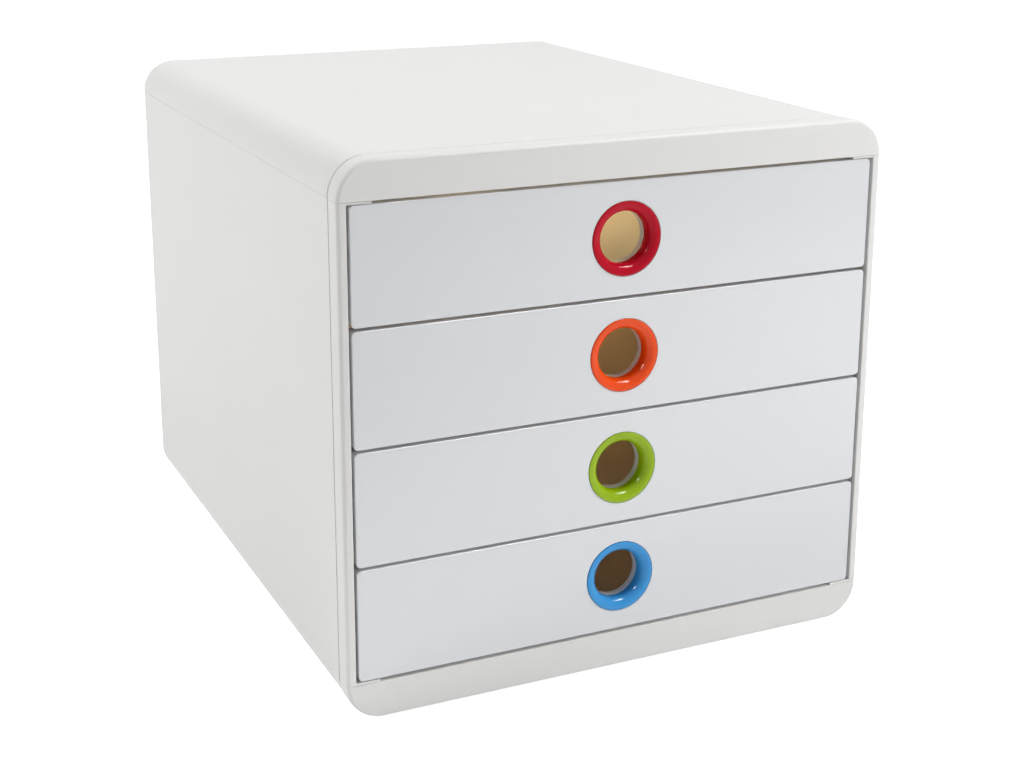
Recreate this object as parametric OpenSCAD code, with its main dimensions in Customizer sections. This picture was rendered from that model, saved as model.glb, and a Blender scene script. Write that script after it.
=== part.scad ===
// Desk drawer box: a moulded casing with a stack of sliding drawers.
// Millimetres, +Z up, the front faces -Y, origin under the middle of the feet.

/* [Casing] */
// Width over the front frame
casing_w = 288; // [260:1:330]
// Depth from the front frame to the rear edges
casing_d = 360; // [320:1:400]
// Radius of the four long corners
corner_r = 18.5; // [14:0.5:24]
// Straight height of cover and base below and above their corners
skirt_h = 0.25; // [0.25:0.25:6]
// Wall thickness of the casing
wall = 2.5; // [2:0.1:3.5]
// Width of a side column, seen from the front
column_w = 4.5; // [4:0.1:7]
// Depth of the raised band round the front
band_d = 11; // [9:0.5:14]
// How far the band stands proud of the walls
band_proud = 0.4; // [0.2:0.1:1.2]
// Width of the groove behind the band
groove_w = 2.4; // [0.4:0.1:3]
// Depth of the groove below the walls
groove_depth = 1; // [0.2:0.1:1.2]
// Radius of the front edge
edge_r = 2; // [1:0.1:3]
// Radius of the rear edge
rear_edge_r = 1.5; // [0.5:0.1:2]
// Gap at the seams between side panels, cover and base
seam_gap = 0.3; // [0.1:0.1:0.6]
// Height of the tongues that lock the side panels into cover and base
tongue_h = 4; // [2:0.5:6]
// Thickness of the tongues
tongue_t = 1.1; // [0.8:0.1:1.3]
// Depth of the return lips behind the front bars
lip_d = 14; // [12:0.5:18]
// Thickness of the return lips
lip_t = 2; // [1.5:0.1:3]
// Length of the corner tabs of the side panels
tab_l = 12; // [6:0.5:20]
// Height of the stiffening ribs in cover and base
rib_h = 5; // [2:0.5:8]
// Thickness of the stiffening ribs
rib_t = 1.6; // [1:0.1:2.5]

/* [Back panel and feet] */
// Thickness of the back panel
back_t = 2.2; // [1.8:0.1:3]
// How far the back panel sits inside the rear edges
back_recess = 2.5; // [1.5:0.1:5]
// Height of the back panel's stop ribs
stop_h = 3; // [2:0.5:6]
// Width and height of the ledge in front of the back panel
ledge = 1.8; // [1:0.1:2.5]
// Radius of a foot pad
foot_r = 9; // [6:0.5:14]
// How far the feet stand out below the casing
foot_proud = 1; // [0.8:0.1:4]
// Depth of the seat that holds a foot pad
foot_seat = 0.8; // [0.4:0.1:1.2]
// Distance of the feet from the sides, the front and the rear
foot_inset = 32; // [30:1:60]

/* [Drawer fronts] */
// Height of a drawer front
face_h = 56; // [50:0.5:80]
// Gap between two drawer fronts
face_gap = 1.5; // [1:0.1:3]
// Gap between a drawer front and a side column
side_gap = 1.5; // [1:0.1:3]
// Gap between the top bar and the top drawer
top_gap = 1.5; // [1:0.1:3]
// Gap between the bottom bar and the bottom drawer
bottom_gap = 1.5; // [1:0.1:3]
// How far the drawer fronts sit behind the frame
face_recess = 0.5; // [0.2:0.1:1.5]
// Corner radius of a drawer front
face_corner_r = 2.2; // [1.5:0.1:6]
// Radius of the edge round a drawer front
face_edge_r = 0.8; // [0.3:0.1:1.2]
// Thickness of the front skin
face_t = 2.4; // [2:0.1:3]
// Depth of the rim behind the front skin
face_d = 7.6; // [6.8:0.1:12]
// Thickness of the rim
face_rim_t = 1.8; // [1.2:0.1:2.5]
// Width of a snap hook that holds the front to its tray
hook_w = 8; // [5:0.5:12]
// Thickness of a snap hook
hook_t = 1.6; // [1.2:0.1:2.2]

/* [Grip rings] */
// Outer radius of the ring's lip
ring_r = 18.1; // [16.5:0.1:19.5]
// Radius of the finger hole
hole_r = 12.7; // [11.5:0.1:14]
// Width of the flat lip round the flare
lip_w = 0.9; // [0.6:0.1:1.5]
// How far the lip stands proud of the drawer front
lip_proud = 0.3; // [0.2:0.1:0.5]
// How deep the lip is let into the drawer front
lip_sunk = 0.8; // [0.4:0.1:1]
// Width of the shadow gap round the lip
lip_gap = 0.4; // [0.1:0.1:0.6]
// Wall thickness of the ring
ring_t = 1.3; // [0.9:0.1:1.6]
// Length of the ring's spigot behind the flare
spigot_l = 2.4; // [1:0.1:3]
// Length of the white sleeve behind the spigot
sleeve_l = 3.8; // [2.8:0.1:8]
// Wall of the sleeve round the ring
sleeve_t = 2; // [1.2:0.1:3]

/* [Drawer trays] */
// Space between casing wall and tray wall, for the runners
runner_space = 9.9; // [8.5:0.1:15]
// Wall thickness of a tray
tray_t = 1.8; // [1.4:0.1:2.4]
// How far a tray's rim is below the upper edge of its front
tray_drop = 5.8; // [4.5:0.1:20]
// Height of a tray's underside above the lower edge of its front
tray_lift = 1.2; // [0.8:0.1:3]
// Corner radius of a tray
tray_r = 8; // [5:0.5:14]
// Radius of the edge round a tray's underside
tray_edge_r = 3.4; // [2.2:0.1:4.5]
// Thickness of a tray's side flange
flange_t = 1.8; // [1.4:0.1:3]
// Length of the flange left in the runner when the drawer is fully out
grip_l = 63; // [50:1:150]

/* [Runners] */
// Thickness of a runner
rail_t = 1.8; // [1.4:0.1:3]
// Gap between a runner's edge and the tray wall
rail_gap = 2.3; // [1.8:0.1:3.5]
// Length of a keeper above a runner
keeper_l = 60; // [30:5:120]
// Overlap of a keeper over the flange
keeper_lap = 3; // [1.5:0.1:3.5]
// Length of the pull-out stop along the runner
nib_l = 4; // [3:0.5:8]

/* [Clearances] */
// Running clearance over and under a flange
run_clear = 0.35; // [0.2:0.05:0.6]
// Clearance between a moving piece and a fixed one beside it
slide_clear = 0.4; // [0.3:0.05:0.6]
// Clearance round a piece that is seated in another
seat_clear = 0.1; // [0.05:0.05:0.2]

/* [Hidden] */
$fn = 48;

drawers = 4;
ring_colors = ["crimson", "orangered", "yellowgreen", "dodgerblue"];
cut = 1;                                // how far a cut runs past a face

// Casing
half_w = casing_w / 2;
front_y = -casing_d / 2;
rear_y = casing_d / 2;
bar_h = corner_r + skirt_h;
casing_h = 2 * bar_h + drawers * face_h + (drawers - 1) * face_gap + top_gap + bottom_gap;
casing_z = foot_proud;
top_z = casing_z + casing_h;
mid_z = casing_z + casing_h / 2;
inner_hw = half_w - band_proud - wall;
inner_r = corner_r - band_proud - wall;
inner_h = casing_h - 2 * (band_proud + wall);
column_x = half_w - column_w;
panel_h = casing_h - 2 * bar_h;
tongue_y = front_y + max(lip_d, band_d + groove_w);
back_y = rear_y - back_recess - back_t;

// Drawers, counted from the top
face_hw = column_x - side_gap;
face_y = front_y + face_recess;
carrier_y = face_y + face_d;
carrier_inset = 0.6;
carrier_end = carrier_y + tray_t;
tray_hw = inner_hw - runner_space;
tray_rear = back_y - stop_h - slide_clear;
tray_h = face_h - tray_lift - tray_drop;
flange_hw = face_hw - slide_clear;
flange_rear = tray_rear - tray_r;
flange_top = tray_lift + tray_h;
tooth_l = 5;
tooth_h = 6;
rail_x = tray_hw + rail_gap;
rail_top = flange_top - flange_t - run_clear;
rail_start = carrier_end + 1.5 * slide_clear;
rail_end = back_y - ledge;
travel = flange_rear - rail_start - grip_l;
nib_end = flange_rear - tooth_l - travel - slide_clear;
hook_inset = 9;                         // from a hook to the front's upper or lower edge
hook_reach = 1.2;
pocket_r = max(face_corner_r - face_rim_t, 0.2);

// Places across the width, as shares of the half width
hook_share = [-0.86, -0.36, 0.36, 0.86];
front_rib_share = [-0.68, -0.5, -0.22, 0.22, 0.5, 0.68];
cover_rib_share = [-0.5, 0, 0.5];
stop_share = [-0.72, 0, 0.72];
// Places along the depth and the height, as shares of the whole
cross_rib_share = [-0.25, 0.25];
catch_share = [0.15, 0.5, 0.85];
catch_l = 10;
catch_w = 0.6;
catch_t = 1.2;

// Grip ring: the flare is a quarter round about this point of its section
flare_x = ring_r - lip_w;
flare_r = flare_x - hole_r;
flare_z = flare_r - lip_proud;
spigot_r = hole_r + ring_t;
sleeve_r = spigot_r + seat_clear + sleeve_t;
sleeve_end = flare_z + spigot_l + sleeve_l;

function face_z(i) = top_z - bar_h - top_gap - face_h - i * (face_h + face_gap);

// Swaps Y and Z, so that what is drawn upright runs along the depth
module along_depth() { mirror([0, 1, -1]) children(); }
module both_sides() { children(); mirror([1, 0, 0]) children(); }

module rounded_rect(w, h, r) {
    square([w - 2 * r, h], center = true);
    square([w, h - 2 * r], center = true);
    for (x = [-1, 1], y = [-1, 1])
        translate([x * (w / 2 - r), y * (h / 2 - r)]) circle(r);
}

// Section through the rim of a slab: a square with its lower outer corner rounded
module edge_section(w, h, r) {
    difference() {
        square([w, h]);
        translate([w - r, 0]) difference() {
            translate([0, -cut]) square([r + cut, r + cut]);
            translate([0, r]) circle(r);
        }
    }
}

// A slab on the XY plane with upright corners of radius r and its lower edge rounded by edge
module slab(w, d, h, r, edge) {
    for (x = [-1, 1], y = [-1, 1])
        translate([x * (w / 2 - r), y * (d / 2 - r), 0])
            mirror([x < 0 ? 1 : 0, 0, 0]) mirror([0, y < 0 ? 1 : 0, 0])
                rotate_extrude(angle = 90) edge_section(r, h, edge);
    for (y = [-1, 1])
        translate([-(w / 2 - r), y * (d / 2 - r), 0]) mirror([0, y < 0 ? 1 : 0, 0])
            rotate([90, 0, 90]) linear_extrude(w - 2 * r) edge_section(r, h, edge);
    for (x = [-1, 1])
        translate([x * (w / 2 - r), d / 2 - r, 0]) mirror([x < 0 ? 1 : 0, 0, 0])
            rotate([90, 0, 0]) linear_extrude(d - 2 * r) edge_section(r, h, edge);
    translate([-(w / 2 - r), -(d / 2 - r), 0]) cube([w - 2 * r, d - 2 * r, h]);
}

// Casing outline, moved in by inset, from depth d0 to depth d1 behind the front
module casing_prism(inset, d0, d1) {
    translate([0, front_y + d0, mid_z]) along_depth()
        linear_extrude(d1 - d0)
            rounded_rect(casing_w - 2 * inset, casing_h - 2 * inset, corner_r - inset);
}

module casing_body() {
    groove_end = band_d + groove_w;
    translate([0, front_y, mid_z]) along_depth()
        slab(casing_w, casing_h, band_d, corner_r, edge_r);
    casing_prism(band_proud + groove_depth, band_d / 2, groove_end + cut);
    translate([0, rear_y, mid_z]) mirror([0, 1, 0]) along_depth()
        slab(casing_w - 2 * band_proud, casing_h - 2 * band_proud,
             casing_d - groove_end, corner_r - band_proud, rear_edge_r);
}

// The whole casing as one shell: cover, base and side panels are cut from it
module casing_shell() {
    difference() {
        casing_body();
        casing_prism(band_proud + wall, wall, casing_d + cut);
        translate([-column_x, front_y - cut, casing_z + bar_h])
            cube([2 * column_x, wall + 2 * cut, panel_h]);
    }
    both_sides() translate([column_x, front_y + wall / 2, casing_z + bar_h])
        cube([inner_hw - column_x + wall / 2, band_d - wall / 2, panel_h]);
}

// Stiffening ribs under the top of the casing
module cover_ribs() {
    ribs_y0 = front_y + wall;
    rib_z = top_z - band_proud - wall - rib_h;
    for (x = cover_rib_share)
        translate([x * inner_hw - rib_t / 2, ribs_y0, rib_z])
            cube([rib_t, back_y - ledge - ribs_y0, rib_h + wall / 2]);
    for (y = cross_rib_share)
        translate([-inner_hw + inner_r, y * casing_d - rib_t / 2, rib_z])
            cube([2 * (inner_hw - inner_r), rib_t, rib_h + wall / 2]);
}

// The upper end of the casing, from the seam up
module end_shell() {
    difference() {
        union() {
            intersection() {
                casing_shell();
                translate([-casing_w, -casing_d, top_z - bar_h])
                    cube([2 * casing_w, 2 * casing_d, bar_h + cut]);
            }
            intersection() {
                casing_prism(band_proud + wall / 2, wall / 2, lip_d);
                translate([-casing_w, front_y, top_z - bar_h])
                    cube([2 * casing_w, lip_d, lip_t]);
            }
            intersection() {
                casing_prism(band_proud + wall / 2, casing_d / 2, casing_d);
                translate([-casing_w, back_y - ledge, top_z - bar_h])
                    difference() {
                        cube([2 * casing_w, ledge, bar_h]);
                        translate([casing_w - inner_hw + inner_r, -cut, -cut])
                            cube([2 * (inner_hw - inner_r), ledge + 2 * cut,
                                  bar_h + cut - band_proud - wall - ledge]);
                    }
            }
            cover_ribs();
        }
        // slots for the tongues of the side panels
        both_sides() translate([inner_hw - ledge - cut, tongue_y, top_z - bar_h - cut])
            cube([ledge + cut + tongue_t + seat_clear, casing_d, tongue_h + cut]);
    }
}

module top_cover() { color("whitesmoke") end_shell(); }

module base_shell() {
    color("whitesmoke") difference() {
        translate([0, 0, 2 * mid_z]) mirror([0, 0, 1]) end_shell();
        foot_places() translate([0, 0, foot_z - foot_seat - cut - seat_clear])
            cylinder(h = foot_seat + cut + seat_clear, r = foot_r + seat_clear);
    }
}

// Right side panel; the left one is its mirror image
module side_panel() {
    z0 = casing_z + bar_h;
    z1 = top_z - bar_h;
    intersection() {
        casing_shell();
        translate([0, -casing_d, z0 + seam_gap])
            cube([casing_w, 2 * casing_d, panel_h - 2 * seam_gap]);
    }
    // tongues
    translate([inner_hw, tongue_y + seat_clear, z0 - tongue_h])
        cube([tongue_t, rear_y - rear_edge_r - tongue_y - seat_clear, panel_h + 2 * tongue_h]);
    // corner tabs that close the gaps beside the bars
    translate([column_x - tab_l, front_y, z0])
        cube([tab_l + column_w / 2, band_d, bottom_gap - run_clear]);
    translate([column_x - tab_l, front_y, z1 - top_gap + run_clear])
        cube([tab_l + column_w / 2, band_d, top_gap - run_clear]);
    // ledge for the back panel
    translate([inner_hw - ledge, back_y - ledge, z0])
        cube([ledge + wall / 2, ledge, panel_h]);
    // catches that hold the back panel against its ledge
    for (z = catch_share)
        translate([inner_hw - catch_w, back_y + back_t, z0 + z * panel_h - catch_l / 2])
            cube([catch_w + wall / 2, catch_t, catch_l]);
    for (i = [0 : drawers - 1]) translate([0, 0, face_z(i)]) runner();
}

// Runner, keeper and pull-out stop of one drawer
module runner() {
    translate([rail_x, rail_start, rail_top - rail_t])
        cube([inner_hw + wall / 2 - rail_x, rail_end - rail_start, rail_t]);
    translate([flange_hw - keeper_lap, rail_start, flange_top + run_clear])
        cube([inner_hw + wall / 2 - flange_hw + keeper_lap, keeper_l, rail_t]);
    translate([tray_hw + slide_clear, nib_end - nib_l, rail_top - rail_t])
        cube([rail_gap, nib_l, rail_t]);
}

module right_side_panel() { color("whitesmoke") side_panel(); }
module left_side_panel() { color("whitesmoke") mirror([1, 0, 0]) side_panel(); }

module back_panel() {
    color("whitesmoke") {
        translate([0, back_y, mid_z]) along_depth() linear_extrude(back_t)
            rounded_rect(2 * (inner_hw - seat_clear), inner_h - 2 * seat_clear,
                         inner_r - seat_clear);
        for (x = stop_share)
            translate([x * tray_hw - rib_t, back_y - stop_h, casing_z + bar_h])
                cube([2 * rib_t, stop_h + back_t / 2, panel_h]);
    }
}

// Feet
foot_z = casing_z + band_proud + foot_seat;
foot_x = half_w - foot_inset;
foot_y = casing_d / 2 - foot_inset;
foot_edge_r = 0.6;

module foot_places() {
    for (x = [-1, 1], y = [-1, 1]) translate([x * foot_x, y * foot_y, 0]) children();
}

module foot_pad(x, y) {
    color("gainsboro") translate([x * foot_x, y * foot_y, 0])
        rotate_extrude() edge_section(foot_r, foot_z, foot_edge_r);
}

// Drawers. Each is drawn with its lower front edge at Z 0 and then lifted into place

module drawer_tray(i) {
    len = tray_rear - carrier_y;
    color("oldlace") translate([0, 0, face_z(i)]) difference() {
        union() {
            translate([0, carrier_y + len / 2, tray_lift])
                slab(2 * tray_hw, len, tray_h, tray_r, tray_edge_r);
            both_sides() tray_flange();
            translate([0, carrier_y, face_h / 2]) along_depth() linear_extrude(tray_t)
                rounded_rect(2 * (face_hw - carrier_inset), face_h - 2 * carrier_inset,
                             face_corner_r - carrier_inset);
        }
        translate([0, carrier_y + len / 2, tray_lift + tray_t])
            slab(2 * (tray_hw - tray_t), len - 2 * tray_t, tray_h, tray_r - tray_t,
                 tray_edge_r - tray_t);
        hole_axis() translate([0, 0, face_d - cut])
            cylinder(h = tray_t + 2 * cut, r = sleeve_r + seat_clear);
        hook_places() hook_slot();
    }
}

// Side flange that runs on the runner, with the tooth that meets the pull-out stop
module tray_flange() {
    translate([tray_hw - tray_t / 2, carrier_y + tray_t / 2, flange_top - flange_t])
        cube([flange_hw - tray_hw + tray_t / 2, flange_rear - carrier_y - tray_t / 2, flange_t]);
    translate([tray_hw - tray_t / 2, flange_rear - tooth_l, flange_top - flange_t - tooth_h])
        cube([tray_t / 2 + rail_gap - slide_clear, tooth_l, tooth_h + flange_t / 2]);
}

// Axis of the finger hole, Z along the depth from the drawer's face
module hole_axis() {
    translate([0, face_y, face_h / 2]) along_depth() children();
}

module hook_places() {
    for (x = hook_share, z = [-1, 1])
        translate([x * face_hw, face_y, face_h / 2 + z * (face_h / 2 - hook_inset)])
            mirror([0, 0, z < 0 ? 1 : 0]) children();
}

module snap_hook() {
    translate([-hook_w / 2, face_t / 2, 0])
        cube([hook_w, face_d + tray_t + seat_clear + hook_reach - face_t / 2, hook_t]);
    translate([-hook_w / 2, face_d + tray_t + seat_clear, 0])
        cube([hook_w, hook_reach, hook_t + hook_reach]);
}

module hook_slot() {
    translate([-hook_w / 2 - seat_clear, face_d - cut, -seat_clear])
        cube([hook_w + 2 * seat_clear, tray_t + 2 * cut, hook_t + 2 * seat_clear]);
}

module drawer_front(i) {
    color("white") translate([0, 0, face_z(i)]) difference() {
        union() {
            difference() {
                translate([0, face_y, face_h / 2]) along_depth()
                    slab(2 * face_hw, face_h, face_d, face_corner_r, face_edge_r);
                translate([0, face_y + face_t, face_h / 2]) along_depth() linear_extrude(face_d)
                    rounded_rect(2 * (face_hw - face_rim_t), face_h - 2 * face_rim_t, pocket_r);
            }
            for (x = front_rib_share)
                translate([x * face_hw - rib_t / 2, face_y + face_t / 2, face_rim_t / 2])
                    cube([rib_t, face_d - face_t / 2, face_h - face_rim_t]);
            hole_axis() translate([0, 0, face_t / 2])
                cylinder(h = sleeve_end - face_t / 2, r = sleeve_r);
            hook_places() snap_hook();
        }
        hole_axis() rotate_extrude() ring_seat();
    }
}

// Section of the opening in a drawer front that holds the ring
module ring_seat() {
    translate([0, -cut]) square([hole_r, sleeve_end + 2 * cut]);
    translate([0, -cut]) square([spigot_r + seat_clear, flare_z + spigot_l + seat_clear + cut]);
    translate([0, -cut]) square([ring_r + lip_gap, lip_sunk + cut]);
    difference() {
        translate([0, -cut]) square([flare_x + seat_clear, flare_z + cut]);
        translate([flare_x, flare_z]) circle(flare_r - ring_t - seat_clear);
        translate([flare_x, flare_z - flare_r + ring_t + seat_clear])
            square([cut, flare_r]);
    }
}

module grip_ring(i) {
    color(ring_colors[i]) translate([0, 0, face_z(i)]) hole_axis()
        rotate_extrude() ring_section();
}

// Section of the ring: lip, quarter-round flare and spigot
module ring_section() {
    intersection() {
        translate([flare_x, flare_z]) difference() {
            circle(flare_r);
            circle(flare_r - ring_t);
        }
        translate([hole_r, -lip_proud]) square([flare_r, flare_r]);
    }
    translate([flare_x, -lip_proud]) square([lip_w - lip_proud, lip_proud + lip_sunk]);
    translate([flare_x, 0]) square([lip_w, lip_sunk]);
    intersection() {
        translate([ring_r - lip_proud, 0]) circle(lip_proud);
        translate([ring_r - lip_proud, -lip_proud]) square([lip_proud, lip_proud]);
    }
    translate([hole_r, flare_z]) square([ring_t, spigot_l]);
}

top_cover();
base_shell();
left_side_panel();
right_side_panel();
back_panel();
foot_pad(-1, -1);  // foot_pad_front_left
foot_pad(1, -1);  // foot_pad_front_right
foot_pad(-1, 1);  // foot_pad_rear_left
foot_pad(1, 1);  // foot_pad_rear_right
drawer_tray(0);  // drawer_tray_1
drawer_tray(1);  // drawer_tray_2
drawer_tray(2);  // drawer_tray_3
drawer_tray(3);  // drawer_tray_4
drawer_front(0);  // drawer_front_1
drawer_front(1);  // drawer_front_2
drawer_front(2);  // drawer_front_3
drawer_front(3);  // drawer_front_4
grip_ring(0);  // grip_ring_1
grip_ring(1);  // grip_ring_2
grip_ring(2);  // grip_ring_3
grip_ring(3);  // grip_ring_4
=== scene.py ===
from math import pi, radians

import bmesh
import bpy
from mathutils import Matrix, Vector


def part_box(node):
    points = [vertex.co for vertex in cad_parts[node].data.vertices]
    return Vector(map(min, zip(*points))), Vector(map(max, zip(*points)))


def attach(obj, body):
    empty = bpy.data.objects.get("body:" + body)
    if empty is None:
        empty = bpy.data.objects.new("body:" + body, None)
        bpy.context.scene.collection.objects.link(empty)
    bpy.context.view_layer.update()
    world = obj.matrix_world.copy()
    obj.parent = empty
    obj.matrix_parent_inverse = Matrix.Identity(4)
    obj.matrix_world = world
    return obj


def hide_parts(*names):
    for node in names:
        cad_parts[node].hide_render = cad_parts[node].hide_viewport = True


bl_info = {
    "name": "Desk Drawer Box",
    "version": (1, 0, 0),
    "blender": (4, 5, 0),
    "location": "3D View > Sidebar > Drawer Box",
    "description": "Models and finishes the casing, drawers and finger rings of a drawer box",
    "category": "Object",
}

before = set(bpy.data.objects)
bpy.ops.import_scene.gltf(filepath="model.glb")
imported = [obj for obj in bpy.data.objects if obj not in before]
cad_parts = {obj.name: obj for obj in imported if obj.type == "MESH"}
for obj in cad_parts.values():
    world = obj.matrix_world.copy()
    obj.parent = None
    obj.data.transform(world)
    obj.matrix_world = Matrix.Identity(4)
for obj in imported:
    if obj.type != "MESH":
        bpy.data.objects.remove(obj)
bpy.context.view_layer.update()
MM = 0.001

# the drawers from the top, with the colours of their rings
DRAWERS = {1: "red", 2: "orange", 3: "green", 4: "blue"}

# shorter distances count as none
TINY = 1e-6

# radii of small moulded edges
FINE_EDGE = 0.2 * MM
THIN_EDGE = 0.25 * MM
SMALL_EDGE = 0.3 * MM

# a face looks along an axis when its normal has more than the first share of it,
# and across the axis when it has less than the second
FACING = 0.99
ACROSS = 0.5

# edges that turn by more than this are sharp, and can be rounded
SHARP = radians(35.0)

# edges that turn by less than this are shaded smoothly
SMOOTH = radians(50.0)

# steps round a full turn
FOOT_STEPS = 64
HOLE_STEPS = 96
RING_STEPS = 112


# ---------------------------------------------------------------- settings

def length(name, description, millimetres):
    """A size property, given in millimetres and kept in metres."""
    return bpy.props.FloatProperty(name=name, description=description, unit="LENGTH",
                                   default=millimetres * MM, min=0.0, precision=5)


def colour(name, description, value):
    """A base colour property, as linear values."""
    return bpy.props.FloatVectorProperty(name=name, description=description,
                                         subtype="COLOR", default=value, min=0.0, max=1.0)


def power(name, description, watts):
    """A property for the power of a lamp."""
    return bpy.props.FloatProperty(name=name, description=description, unit="POWER",
                                   default=watts, min=0.0)


class DrawerBoxCasing(bpy.types.PropertyGroup):
    """Sizes of the casing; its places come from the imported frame."""
    corner: length("Corner", "Radius of the four long corners", 18.5)
    wall: length("Wall", "Thickness of the walls", 2.5)
    column: length("Column", "Width of a side column, seen from the front", 4.5)
    band: length("Band", "Depth of the raised band round the front", 11.0)
    band_proud: length("Band height", "How far the band stands proud of the walls", 0.4)
    groove: length("Groove", "Width of the groove behind the band", 2.4)
    groove_depth: length("Groove depth", "Depth of the groove below the walls", 1.0)
    front_edge: length("Front edge", "Radius of the front edge", 2.0)
    rear_edge: length("Rear edge", "Radius of the rear edge", 1.5)
    step_edge: length("Step edge", "Radius of the band's rear edge", 0.25)
    column_edge: length("Column edge", "Radius of a column's edge beside the drawers", 0.4)
    upper_edge: length("Upper edge", "Radius of the edges that face up along a seam", 0.9)
    lower_edge: length("Lower edge", "Radius of the edges that face down along a seam", 0.2)
    seam_gap: length("Seam gap", "Gap at the seams of the side panels", 0.1)
    hair: length("Hair", "How far tabs and ledges keep off the faces beside them", 0.15)
    lip_depth: length("Lip depth", "Depth of the return lips behind the front bars", 14.0)
    lip: length("Lip", "Thickness of the return lips", 2.0)
    lip_lift: length("Lip lift", "From a seam to the return lip", 0.1)
    tab: length("Tab", "Length of the corner tabs of the side panels", 12.0)
    tab_height: length("Tab height", "Height of the corner tabs", 1.15)
    rib_height: length("Rib height", "Height of the stiffening ribs", 5.0)
    rib: length("Rib", "Thickness of the stiffening ribs", 1.6)
    ledge: length("Ledge", "Ledge in front of the back panel", 1.8)
    back: length("Back", "Thickness of the back panel", 2.2)
    back_rib: length("Back rib", "Height of the back panel's stop ribs", 3.0)
    catch_reach: length("Catch reach", "How far a catch stands out from the wall", 0.6)
    catch_depth: length("Catch depth", "Thickness of a catch", 1.2)
    catch_length: length("Catch length", "Length of a catch", 10.0)
    foot_edge: length("Foot edge", "Radius of the edge round a foot's underside", 0.6)
    foot_recess: length("Foot recess", "Depth of the recess in a foot", 0.3)


class DrawerBoxDrawers(bpy.types.PropertyGroup):
    """Sizes of the drawers, their fronts and their rings."""
    corner: length("Front corner", "Corner radius of a drawer front", 2.2)
    edge: length("Front edge", "Radius of the edge round a drawer front", 0.5)
    skin: length("Front skin", "Thickness of a drawer front's skin", 2.4)
    depth: length("Front depth", "Depth of a drawer front with its rim", 7.6)
    rim: length("Front rim", "Thickness of the rim behind a drawer front", 1.8)
    rib: length("Front rib", "Thickness of the ribs behind a drawer front", 1.6)
    ring_outer: length("Ring lip", "Outer radius of a ring's lip", 18.1)
    hole: length("Finger hole", "Radius of the finger hole", 12.7)
    ring_wall: length("Ring wall", "Wall thickness of a ring", 1.3)
    lip_width: length("Lip width", "Width of the flat lip round the flare", 0.9)
    lip_proud: length("Lip height", "How far a ring's lip stands proud", 0.3)
    lip_sunk: length("Lip seat", "How deep a ring's lip is let in", 0.8)
    lip_gap: length("Shadow gap", "Width of the gap round a ring's lip", 0.4)
    lip_edge: length("Lip edge", "Radius of the edge round a ring's lip", 0.28)
    spigot: length("Ring spigot", "Length of a ring's spigot", 2.4)
    sleeve: length("Sleeve", "Length of the white sleeve behind the spigot", 3.8)
    sleeve_wall: length("Sleeve wall", "Wall of the sleeve round a ring", 2.0)
    seat_gap: length("Seat clearance", "Clearance round a seated piece", 0.1)
    hook_width: length("Hook", "Width of a snap hook", 8.0)
    hook: length("Hook thickness", "Thickness of a snap hook", 1.6)
    hook_inset: length("Hook inset", "From a hook to the front's edge", 9.0)
    hook_reach: length("Hook reach", "Reach of a hook's barb", 1.2)
    tray: length("Tray wall", "Wall thickness of a tray", 1.8)
    tray_side: length("Runner space", "From the casing's wall to the tray's wall", 9.9)
    tray_corner: length("Tray corner", "Corner radius of a tray", 8.0)
    tray_edge: length("Tray edge", "Radius of the edge round a tray's underside", 3.4)
    rim_edge: length("Rim edge", "Radius of the edges on a tray's rim", 0.4)
    tray_drop: length("Tray drop", "From the tray's rim to the front's upper edge", 5.8)
    tray_lift: length("Tray lift", "From the front's lower edge to the tray's underside", 1.2)
    setback: length("Setback", "From the front wall's face to the tub", 0.3)
    wall_inset: length("Wall inset", "From the front's edges to a tray's front wall", 0.6)
    flange: length("Flange", "Thickness of a tray's side flange", 1.8)
    slide_gap: length("Slide clearance", "Clearance beside a moving piece", 0.4)
    run_gap: length("Running clearance", "Clearance over and under a flange", 0.35)
    rail_gap: length("Runner gap", "From the tray's wall to a runner's edge", 2.3)
    rail: length("Runner", "Thickness of a runner", 1.8)
    keeper: length("Keeper", "Length of the keeper above a runner", 60.0)
    keeper_lap: length("Keeper lap", "Overlap of a keeper over the flange", 3.0)
    tooth: length("Tooth", "Length of the tooth that meets the pull-out stop", 5.0)
    tooth_height: length("Tooth height", "Height of the tooth under a flange", 6.0)
    tooth_inset: length("Tooth inset", "From the tooth to its flange's rear end", 0.1)
    nib: length("Stop", "Length of the pull-out stop", 4.0)
    grip: length("Grip", "Flange left in the runner when fully out", 63.0)


class DrawerBoxColours(bpy.types.PropertyGroup):
    """Base colours of the plastics, as linear values."""
    casing: colour("Casing", "Warm white of the casing", (0.82, 0.815, 0.80))
    front: colour("Drawer fronts", "Cool white of the drawer fronts", (0.755, 0.77, 0.79))
    tray: colour("Trays", "Ivory of the trays", (0.80, 0.76, 0.68))
    foot: colour("Feet", "Grey of the rubber feet", (0.36, 0.36, 0.35))
    red: colour("Red ring", "Crimson", (0.52, 0.002, 0.018))
    orange: colour("Orange ring", "Orange", (0.90, 0.078, 0.004))
    green: colour("Green ring", "Yellow-green", (0.32, 0.49, 0.004))
    blue: colour("Blue ring", "Sky blue", (0.045, 0.32, 0.72))


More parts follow.
